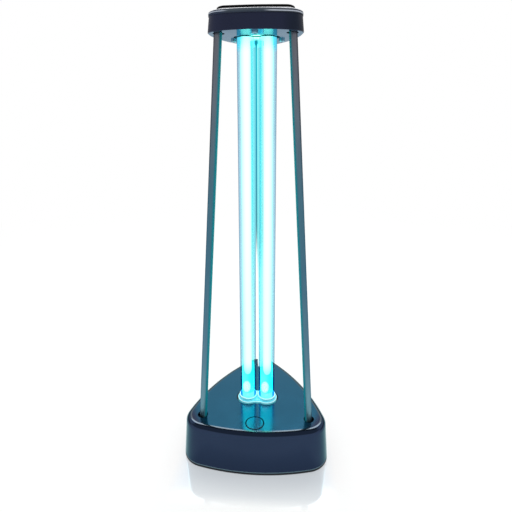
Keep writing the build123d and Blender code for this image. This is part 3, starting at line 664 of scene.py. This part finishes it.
def endTree(tree, geometry, given, made):
    solid = addNode(tree, "GeometryNodeRealizeInstances", {"Geometry": geometry}).outputs[0]
    values = {"Geometry": solid, "Material": given["Material"]}
    tree.links.new(addNode(tree, "GeometryNodeSetMaterial", values).outputs[0], made[0])


def bakeTree(tree, name, sizes, material, body):
    holder = bpy.data.objects.new(name + "Source", bpy.data.meshes.new(name + "Source"))
    bpy.context.scene.collection.objects.link(holder)
    modifier = holder.modifiers.new(name, "NODES")
    modifier.node_group = tree
    sockets = {item.name: item.identifier for item in tree.interface.items_tree if item.in_out == "INPUT"}
    for key, value in sizes.items():
        modifier[sockets[key]] = value
    modifier[sockets["Material"]] = material
    depsgraph = bpy.context.evaluated_depsgraph_get()
    mesh = bpy.data.meshes.new_from_object(holder.evaluated_get(depsgraph), depsgraph=depsgraph)
    holder.modifiers.clear()
    bpy.data.objects.remove(holder)
    piece = bpy.data.objects.new(name, mesh)
    mesh.name = name
    bpy.context.scene.collection.objects.link(piece)
    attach(piece, body)
    print(name, "made:", len(mesh.polygons), "faces")


def pairOf(tree, geometry, spacing, shift):
    half = mathOf(tree, "MULTIPLY", spacing, 0.5)
    start = combine(tree, mathOf(tree, "SUBTRACT", shift, half), 0.0, 0.0)
    row = addNode(tree, "GeometryNodeMeshLine", {"Count": 2, "Start Location": start}, mode="OFFSET")
    feed(tree, row.inputs["Offset"], combine(tree, spacing, 0.0, 0.0))
    values = {"Points": row.outputs[0], "Instance": geometry}
    return addNode(tree, "GeometryNodeInstanceOnPoints", values).outputs[0]


# upright column with drawn-in ends, once in each tube
columnDetail = {
    "rings": 160,
    "sides": 40,
    "tip": 1.001,  # a little over 1, so that the ends keep some width
}


def columnTree(name):
    tree, given, made = startTree(name, ["Spacing", "Radius", "Bottom", "Top", "Taper Bottom", "Taper Top"])
    line = addNode(tree, "GeometryNodeCurvePrimitiveLine")
    feed(tree, line.inputs["Start"], combine(tree, 0.0, 0.0, given["Bottom"]))
    feed(tree, line.inputs["End"], combine(tree, 0.0, 0.0, given["Top"]))
    values = {"Curve": line.outputs[0], "Count": columnDetail["rings"]}
    dense = addNode(tree, "GeometryNodeResampleCurve", values).outputs[0]
    height = axisOf(tree, addNode(tree, "GeometryNodeInputPosition").outputs[0], "Z")
    above = mathOf(tree, "SUBTRACT", height, given["Bottom"])
    below = mathOf(tree, "SUBTRACT", given["Top"], height)
    rise = mathOf(tree, "DIVIDE", above, given["Taper Bottom"])
    rise = mathOf(tree, "MINIMUM", rise, mathOf(tree, "DIVIDE", below, given["Taper Top"]))
    rise = mathOf(tree, "MINIMUM", rise, 1.0)
    back = mathOf(tree, "SUBTRACT", 1.0, mathOf(tree, "MAXIMUM", rise, 0.0))
    curve = mathOf(tree, "SUBTRACT", columnDetail["tip"], mathOf(tree, "MULTIPLY", back, back))
    width = mathOf(tree, "MULTIPLY", mathOf(tree, "SQRT", curve), given["Radius"])
    sized = addNode(tree, "GeometryNodeSetCurveRadius", {"Curve": dense, "Radius": width}).outputs[0]
    values = {"Resolution": columnDetail["sides"], "Radius": 1.0}
    ring = addNode(tree, "GeometryNodeCurvePrimitiveCircle", values).outputs[0]
    radius = addNode(tree, "GeometryNodeInputRadius").outputs[0]
    values = {"Curve": sized, "Profile Curve": ring, "Scale": radius, "Fill Caps": True}
    column = addNode(tree, "GeometryNodeCurveToMesh", values).outputs[0]
    endTree(tree, pairOf(tree, column, given["Spacing"], 0.0), given, made)
    return tree


def columnSizes(look, spacing, bottom, top):
    taperBottom, taperTop = look["taper"]
    return {
        "Spacing": spacing,
        "Radius": look["radius"] * mm,
        "Bottom": bottom,
        "Top": top,
        "Taper Bottom": taperBottom * mm,
        "Taper Top": taperTop * mm,
    }


def glowFinish(name, low, high, strength, patchScale):
    material, tree, shader = startMaterial(name)
    flow = noiseOf(tree, stretched(tree, objectPoint(tree), flowStretch), patchScale, detail=2.0)
    feed(tree, shader.inputs["Emission Color"], mixColours(tree, flow, low, high))
    shader.inputs["Emission Strength"].default_value = strength
    shader.inputs["Base Color"].default_value = (0.0, 0.0, 0.0, 1.0)
    shader.inputs["Specular IOR Level"].default_value = 0.0
    shader.inputs["Roughness"].default_value = 1.0
    return material, tree, shader


# the discharge itself
coreLook = {
    "radius": 4.0,
    "outward": 0.5,  # how far each column stands outside its tube's axis, mm
    "bottom": 26.0,
    "belowTop": 3.0,
    "taper": (8.0, 6.0),
}
coreGlow = {"low": (0.265, 0.98, 0.71), "high": (0.28, 1.0, 0.73), "strength": 3.7, "patchScale": 30.0}
coreMaterial = glowFinish("dischargeCore", **coreGlow)[0]
coreSizes = columnSizes(
    coreLook,
    spacing=tubeSpacing + 2 * coreLook["outward"] * mm,
    bottom=shellTop + coreLook["bottom"] * mm,
    top=tubeHigh.z - coreLook["belowTop"] * mm,
)
bakeTree(columnTree("dischargeColumn"), "dischargeColumns", coreSizes, coreMaterial, "lamp")

# deeper glow round the electrodes, which thins out upwards
footLook = {
    "radius": 6.1,
    "reach": (-5.5, 46.0),  # heights above the base's top, mm
    "taper": (0.6, 0.6),
    "thin": (45.0, 27.0),  # heights above the base's top between which it thins out, mm
    "share": 0.72,
    "lean": (-5.0, 5.0),  # paler on the left of each tube's axis, deeper on its right, mm
    "drift": 0.35,
    "sleeve": (9.2, 7.6),  # below this it is dimmed by the lamp cap's clear sleeve, mm
    "sleeveColour": (0.042, 0.210, 0.235),
}
footGlow = {"low": (0.030, 0.72, 0.60), "high": (0.0, 0.57, 0.54), "strength": 5.2, "patchScale": 190.0}


def footFinish():
    material, tree, shader = glowFinish("electrodeGlow", **footGlow)
    point = objectPoint(tree)
    height, across = axisOf(tree, point, "Z"), axisOf(tree, point, "X")
    side = mathOf(tree, "MULTIPLY", mathOf(tree, "SIGN", across), tubeSpacing / 2)
    lean = spanOf(tree, mathOf(tree, "SUBTRACT", across, side), *levels(0.0, footLook["lean"]))
    shades = fedBy(shader.inputs["Emission Color"]).node
    factor, colour = shades.inputs[0], shades.outputs[2]
    feed(tree, factor, blendOf(tree, footLook["drift"], lean, fedBy(factor)))
    sleeve = spanOf(tree, height, *levels(shellTop, footLook["sleeve"]))
    feed(tree, shader.inputs["Emission Color"], mixColours(tree, sleeve, colour, footLook["sleeveColour"]))
    share = spanOf(tree, height, *levels(shellTop, footLook["thin"]), 0.0, footLook["share"])
    feed(tree, shader.inputs["Alpha"], share)
    return material


footSizes = columnSizes(footLook, tubeSpacing, *levels(shellTop, footLook["reach"]))
bakeTree(columnTree("footColumn"), "electrodeGlow", footSizes, footFinish(), "lamp")

# blue light in the glass just under the cap, strongest where the tube is seen edge on
headLook = {
    "radius": 7.85,
    "reach": (-12.0, 1.6),  # heights from the cap's underside, mm
    "taper": (0.4, 0.4),
    "fall": (-12.0, -1.0),  # heights from the cap's underside between which it grows, mm
    "edge": 0.45,
    "share": (0.42, 1.5),
    "most": 0.95,
    "inner": (3.0, 9.0),  # distances from the lamp's axis over which it grows to its full strength, mm
    "innerShare": 0.25,
}
headGlow = {"low": (0.13, 0.76, 0.95), "high": (0.20, 0.88, 1.0), "strength": 1.08, "patchScale": 80.0}


def headFinish():
    material, tree, shader = glowFinish("headGlow", **headGlow)
    point = objectPoint(tree)
    rise = spanOf(tree, axisOf(tree, point, "Z"), *levels(capFloor, headLook["fall"]), kind="LINEAR")
    facing = addNode(tree, "ShaderNodeLayerWeight").outputs["Facing"]
    share = spanOf(tree, facing, 0.0, headLook["edge"], *headLook["share"], kind="LINEAR")
    aside = mathOf(tree, "ABSOLUTE", axisOf(tree, point, "X"))
    outer = spanOf(tree, aside, *levels(0.0, headLook["inner"]), headLook["innerShare"], 1.0)
    share = mathOf(tree, "MULTIPLY", rise, mathOf(tree, "MULTIPLY", share, outer))
    feed(tree, shader.inputs["Alpha"], mathOf(tree, "MINIMUM", share, headLook["most"]))
    return material


headSizes = columnSizes(headLook, tubeSpacing, *levels(capFloor, headLook["reach"]))
bakeTree(columnTree("headColumn"), "headGlow", headSizes, headFinish(), "lamp")

# bright spot round each filament: thin shells inside each other, a little left of the tube's middle
spotLook = {
    "radius": 4.1,
    "height": 6.0,
    "place": 11.6,  # height above the base's top, mm
    "shift": -1.7,
    "shells": 6.0,
    "smallest": 0.3,
    "share": 0.25,
    "segments": 32,
    "rings": 20,
}


def spotTree(name):
    tree, given, made = startTree(name, ["Spacing", "Shift", "Radius", "Height", "Place", "Shells", "Smallest"])
    values = {"Segments": spotLook["segments"], "Rings": spotLook["rings"], "Radius": given["Radius"]}
    ball = addNode(tree, "GeometryNodeMeshUVSphere", values)
    row = addNode(tree, "GeometryNodeMeshLine", {"Count": given["Shells"]}, mode="OFFSET")
    feed(tree, row.inputs["Start Location"], combine(tree, 0.0, 0.0, given["Place"]))
    feed(tree, row.inputs["Offset"], (0.0, 0.0, 0.0))
    step = addNode(tree, "GeometryNodeInputIndex").outputs[0]
    last = mathOf(tree, "SUBTRACT", given["Shells"], 1.0)
    share = spanOf(tree, step, 0.0, last, 1.0, given["Smallest"], kind="LINEAR")
    tall = mathOf(tree, "MULTIPLY", share, mathOf(tree, "DIVIDE", given["Height"], given["Radius"]))
    values = {"Points": row.outputs[0], "Instance": ball.outputs[0], "Scale": combine(tree, share, share, tall)}
    shells = addNode(tree, "GeometryNodeInstanceOnPoints", values).outputs[0]
    endTree(tree, pairOf(tree, shells, given["Spacing"], given["Shift"]), given, made)
    return tree


spotGlow = {"low": (0.80, 0.98, 1.0), "high": (1.0, 1.0, 1.0), "strength": 3.0, "patchScale": 120.0}
spotSizes = {
    "Spacing": tubeSpacing,
    "Shift": spotLook["shift"] * mm,
    "Radius": spotLook["radius"] * mm,
    "Height": spotLook["height"] * mm,
    "Place": shellTop + spotLook["place"] * mm,
    "Shells": spotLook["shells"],
    "Smallest": spotLook["smallest"],
}
spotMaterial = glowFinish("filamentGlow", **spotGlow)[0]
spotMaterial.node_tree.nodes["Principled BSDF"].inputs["Alpha"].default_value = spotLook["share"]
bakeTree(spotTree("spotShells"), "filamentGlow", spotSizes, spotMaterial, "lamp")

# haze of light between the tubes, stronger upwards: a painted glow on a sheet that is no part, with a dark line
# of painted shade
hazeLook = {
    "thick": 0.6,
    "bottom": 60.0,
    "belowTop": 10.0,
    "rise": (70.0, 250.0),  # heights above the base's top between which the haze grows, mm
    "gapRise": (150.0, 190.0),  # and between which the dark line of painted shade does
    "share": 0.80,
    "middle": -0.5,  # the painted shade line's place, mm from the lamp's axis
    "line": (0.35, 1.15),  # half width of the painted shade line, mm
    "lift": (-9.0, -5.0),  # heights from the cap's underside between which it grows stronger, mm
    "liftColour": (1.0, 2.3, 2.5),
    "lineEnd": (0.915, 0.930),  # share of the line's height from which it widens to a drop
    "lineShrink": 0.45,  # distances from the line's middle count this much there
    "lineColour": [(0.0, (0.030, 0.220, 0.260)), (0.5, (0.008, 0.280, 0.440)), (0.90, (0.012, 0.500, 0.620)),
                   (0.925, (0.006, 0.300, 0.400)), (1.0, (0.006, 0.260, 0.360))],
    "across": [(0.0, (0.24, 1.0, 1.0)), (0.45, (0.36, 1.0, 1.0)), (0.62, (0.24, 0.98, 1.0)),
               (0.74, (0.08, 0.82, 0.85)), (0.88, (0.40, 1.0, 1.0)), (1.0, (0.60, 1.0, 1.0))],
}
hazeGlow = {"low": (0.88, 0.95, 0.96), "high": (1.0, 1.0, 1.0), "strength": 1.08, "patchScale": 40.0}


def hazeTree(name):
    tree, given, made = startTree(name, ["Width", "Thick", "Bottom", "Top"])
    height = mathOf(tree, "SUBTRACT", given["Top"], given["Bottom"])
    middle = mathOf(tree, "MULTIPLY", mathOf(tree, "ADD", given["Top"], given["Bottom"]), 0.5)
    size = combine(tree, given["Width"], given["Thick"], height)
    sheet = addNode(tree, "GeometryNodeMeshCube", {"Size": size}).outputs[0]
    values = {"Geometry": sheet, "Translation": combine(tree, 0.0, 0.0, middle)}
    endTree(tree, addNode(tree, "GeometryNodeTransform", values).outputs[0], given, made)
    return tree


def hazeFinish():
    material, tree, shader = glowFinish("gapHaze", **hazeGlow)
    point = objectPoint(tree)
    height = axisOf(tree, point, "Z")
    rise = spanOf(tree, height, *levels(shellTop, hazeLook["rise"]))
    gapRise = spanOf(tree, height, *levels(shellTop, hazeLook["gapRise"]))
    aside = mathOf(tree, "SUBTRACT", axisOf(tree, point, "X"), hazeLook["middle"] * mm)
    aside = mathOf(tree, "ABSOLUTE", aside)
    upward = spanOf(tree, height, shellTop + hazeLook["gapRise"][0] * mm, tubeHigh.z, kind="LINEAR")
    shrunk = spanOf(tree, upward, *hazeLook["lineEnd"], 1.0, hazeLook["lineShrink"])
    beside = spanOf(tree, mathOf(tree, "MULTIPLY", aside, shrunk), *levels(0.0, hazeLook["line"]))
    across = spanOf(tree, aside, 0.0, hazeSizes["Width"] / 2, kind="LINEAR")
    lift = spanOf(tree, height, *levels(capFloor, hazeLook["lift"]))
    lift = mixColours(tree, lift, white, hazeLook["liftColour"])
    gap = mixColours(tree, 1.0, rampOf(tree, across, hazeLook["across"]), lift, "MULTIPLY")
    # painted shade: the dark line down the haze
    gap = mixColours(tree, beside, rampOf(tree, upward, hazeLook["lineColour"]), gap)
    colour = mixColours(tree, 1.0, fedBy(shader.inputs["Emission Color"]), gap, "MULTIPLY")
    feed(tree, shader.inputs["Emission Color"], colour)
    share = blendOf(tree, beside, gapRise, rise)
    feed(tree, shader.inputs["Alpha"], mathOf(tree, "MULTIPLY", share, hazeLook["share"]))
    return material


hazeSizes = {
    "Width": tubeSpacing - 2 * coreLook["radius"] * mm,
    "Thick": hazeLook["thick"] * mm,
    "Bottom": shellTop + hazeLook["bottom"] * mm,
    "Top": tubeHigh.z - hazeLook["belowTop"] * mm,
}
bakeTree(hazeTree("hazeSheet"), "gapHaze", hazeSizes, hazeFinish(), "lamp")


# glow in the bridge between the tubes: its lower edge is an arch that lets the haze behind it through
bridgeLook = {
    "radius": 4.45,
    "sides": 32,
    "drop": 8.5,
    "arch": (13.2, 9.8),  # depths below the tube's top between which the lower edge fades in the middle, mm
    "spread": 0.22,  # how much lower the fade lies for each step aside
}


def bridgeTree(name):
    tree, given, made = startTree(name, ["Length", "Radius", "Height"])
    right = mathOf(tree, "MULTIPLY", given["Length"], 0.5)
    left = mathOf(tree, "MULTIPLY", right, -1.0)
    line = addNode(tree, "GeometryNodeCurvePrimitiveLine")
    feed(tree, line.inputs["Start"], combine(tree, left, 0.0, given["Height"]))
    feed(tree, line.inputs["End"], combine(tree, right, 0.0, given["Height"]))
    values = {"Resolution": bridgeLook["sides"], "Radius": given["Radius"]}
    ring = addNode(tree, "GeometryNodeCurvePrimitiveCircle", values).outputs[0]
    values = {"Curve": line.outputs[0], "Profile Curve": ring, "Fill Caps": True}
    endTree(tree, addNode(tree, "GeometryNodeCurveToMesh", values).outputs[0], given, made)
    return tree


def bridgeFinish():
    material, tree, shader = glowFinish("bridgeLight", **coreGlow)
    point = objectPoint(tree)
    aside = mathOf(tree, "ABSOLUTE", axisOf(tree, point, "X"))
    lowered = mathOf(tree, "MULTIPLY", aside, bridgeLook["spread"])
    level = mathOf(tree, "ADD", axisOf(tree, point, "Z"), lowered)
    low, high = (tubeHigh.z - depth * mm for depth in bridgeLook["arch"])
    feed(tree, shader.inputs["Alpha"], spanOf(tree, level, low, high))
    return material


bridgeSizes = {
    "Length": tubeSpacing,
    "Radius": bridgeLook["radius"] * mm,
    "Height": tubeHigh.z - bridgeLook["drop"] * mm,
}
bakeTree(bridgeTree("bridgeGlow"), "bridgeGlow", bridgeSizes, bridgeFinish(), "lamp")


# floor: pale, and glossy only just in front of the lamp, where a bluish tint is painted reflection
floorLook = {
    "size": 12.0,
    "colour": (0.93, 0.93, 0.93),
    "patchColour": (0.95, 0.95, 0.95),
    "patchScale": 3.0,
    "paintedReflectionTint": (0.90, 0.95, 1.0),
    "white": (0.62, 1.0),  # share of plain white that the camera, gloss and glass see, near and far
    "whiteReach": (0.2, 1.2),
    "sheen": 0.27,
    "sheenColour": (0.85, 0.93, 1.0),
    "rough": 0.08,
    "fadeFront": (-0.091, -0.077),  # bounds of the glossy patch, m
    "thin": (-0.080, -0.058),
    "thinTo": 0.6,
    "fadeBack": (0.02, -0.03),
    "fadeSide": (0.078, 0.060),
}


def makeFloor():
    half = floorLook["size"] / 2
    mesh = bpy.data.meshes.new("floor")
    corners = [(-half, -half, 0), (half, -half, 0), (half, half, 0), (-half, half, 0)]
    mesh.from_pydata(corners, [], [(0, 1, 2, 3)])
    floor = bpy.data.objects.new("floor", mesh)
    bpy.context.scene.collection.objects.link(floor)
    material, tree, shader = startMaterial("paleFloor")
    point = objectPoint(tree)
    depth = axisOf(tree, point, "Y")
    aside = mathOf(tree, "ABSOLUTE", axisOf(tree, point, "X"))
    near = spanOf(tree, depth, *floorLook["fadeFront"])
    thin = spanOf(tree, depth, *floorLook["thin"], floorLook["thinTo"], 1.0, kind="LINEAR")
    back = spanOf(tree, depth, *floorLook["fadeBack"])
    for fade in (thin, back, spanOf(tree, aside, *floorLook["fadeSide"])):
        near = mathOf(tree, "MULTIPLY", near, fade)
    patches = noiseOf(tree, point, floorLook["patchScale"])
    pale = mixColours(tree, patches, floorLook["colour"], floorLook["patchColour"])
    # painted reflection: a bluish tint on the patch in front of the lamp
    pale = mixColours(tree, near, pale, floorLook["paintedReflectionTint"])
    matte = addNode(tree, "ShaderNodeBsdfDiffuse", {"Color": pale}).outputs[0]
    paper = mixColours(tree, near, white, floorLook["paintedReflectionTint"])
    paper = addNode(tree, "ShaderNodeEmission", {"Color": paper}).outputs[0]
    reach = vectorOf(tree, "LENGTH", point)
    share = spanOf(tree, reach, *floorLook["whiteReach"], *floorLook["white"])
    share = mathOf(tree, "MULTIPLY", sightOf(tree)[1], share)
    plain = addNode(tree, "ShaderNodeMixShader", {0: share, 1: matte, 2: paper}).outputs[0]
    values = {"Color": floorLook["sheenColour"], "Roughness": floorLook["rough"]}
    gloss = addNode(tree, "ShaderNodeBsdfGlossy", values).outputs[0]
    share = mathOf(tree, "MULTIPLY", near, floorLook["sheen"])
    replaceShader(tree, shader, addNode(tree, "ShaderNodeMixShader", {0: share, 1: plain, 2: gloss}).outputs[0])
    mesh.materials.append(material)


makeFloor()

# studio: even surrounding light, a white backdrop that darkens overhead, one softbox above and behind
studioLook = {
    "ambient": 0.92,
    "rearFall": (0.68, 0.86),  # sines of the heights between which the backdrop darkens upwards
    "rearDark": 0.12,
    "frontFall": (0.26, 0.46),  # and between which the front of the room does, for reflections only
    "frontDark": 0.38,
    "frontToRear": (-0.15, 0.15),
    "flagBelow": (0.24, 0.40),  # dark flags low at the sides and behind, for reflections only
    "flagFrom": (-0.3, 0.2),
    "flagShare": 0.70,
    "boxPower": 6.0,
    "boxSize": (1.5, 0.45),
    "boxPlace": (-0.05, 0.62, 1.05),
    "boxAim": (0.0, 0.0, 0.05),
}


def makeStudio():
    world = bpy.data.worlds.new("studio")
    bpy.context.scene.world = world
    world.use_nodes = True
    tree = world.node_tree
    tree.nodes.clear()
    direction = addNode(tree, "ShaderNodeTexCoord").outputs["Generated"]
    upward, depth = axisOf(tree, direction, "Z"), axisOf(tree, direction, "Y")
    rear = spanOf(tree, upward, *studioLook["rearFall"], 1.0, studioLook["rearDark"])
    front = spanOf(tree, upward, *studioLook["frontFall"], 1.0, studioLook["frontDark"])
    level = blendOf(tree, spanOf(tree, depth, *studioLook["frontToRear"]), front, rear)
    lowDown = spanOf(tree, upward, *studioLook["flagBelow"], studioLook["flagShare"], 0.0)
    flags = mathOf(tree, "MULTIPLY", lowDown, spanOf(tree, depth, *studioLook["flagFrom"]))
    camera, direct = sightOf(tree)
    strength = mathOf(tree, "MAXIMUM", camera, mathOf(tree, "SUBTRACT", level, flags))
    seen = addNode(tree, "ShaderNodeBackground", {"Color": white, "Strength": strength}).outputs[0]
    even = addNode(tree, "ShaderNodeBackground", {"Color": white, "Strength": studioLook["ambient"]}).outputs[0]
    both = addNode(tree, "ShaderNodeMixShader", {0: direct, 1: even, 2: seen}).outputs[0]
    addNode(tree, "ShaderNodeOutputWorld", {"Surface": both})
    lamp = bpy.data.lights.new("softbox", "AREA")
    lamp.shape = "RECTANGLE"
    lamp.size, lamp.size_y = studioLook["boxSize"]
    lamp.energy = studioLook["boxPower"]
    holder = bpy.data.objects.new("softbox", lamp)
    bpy.context.scene.collection.objects.link(holder)
    place, aim = Vector(studioLook["boxPlace"]), Vector(studioLook["boxAim"])
    holder.location = place
    holder.rotation_euler = (aim - place).to_track_quat("-Z", "Y").to_euler()
    holder.visible_camera = False


makeStudio()

# camera as fitted to the photograph, 512 by 512
cameraLook = {
    "distance": 0.38155,  # m
    "height": 0.32302,
    "turn": 3.89,  # degrees, like tilt and roll
    "tilt": 12.58,
    "focalPixels": 416.12,
    "middlePixel": (257.15, 213.73),
    "roll": -0.1,
    "imageSize": 512,
    "sensor": 36.0,
    "clip": (0.01, 50.0),
}


def makeCamera():
    camera = bpy.data.cameras.new("photoCamera")
    holder = bpy.data.objects.new("photoCamera", camera)
    bpy.context.scene.collection.objects.link(holder)
    turn = math.radians(cameraLook["turn"])
    reach = cameraLook["distance"]
    holder.location = (reach * math.sin(turn), -reach * math.cos(turn), cameraLook["height"])
    upright = Matrix.Rotation(turn, 4, "Z") @ Matrix.Rotation(math.radians(90 - cameraLook["tilt"]), 4, "X")
    rolled = upright @ Matrix.Rotation(math.radians(cameraLook["roll"]), 4, "Z")
    holder.rotation_euler = rolled.to_euler()
    size = cameraLook["imageSize"]
    camera.sensor_width = cameraLook["sensor"]
    camera.lens = cameraLook["sensor"] * cameraLook["focalPixels"] / size
    across, down = cameraLook["middlePixel"]
    camera.shift_x = (size / 2 - across) / size
    camera.shift_y = (down - size / 2) / size
    camera.clip_start, camera.clip_end = cameraLook["clip"]
    bpy.context.scene.camera = holder


makeCamera()
bpy.context.scene.view_settings.view_transform = "Standard"
print("floor, studio and camera placed")
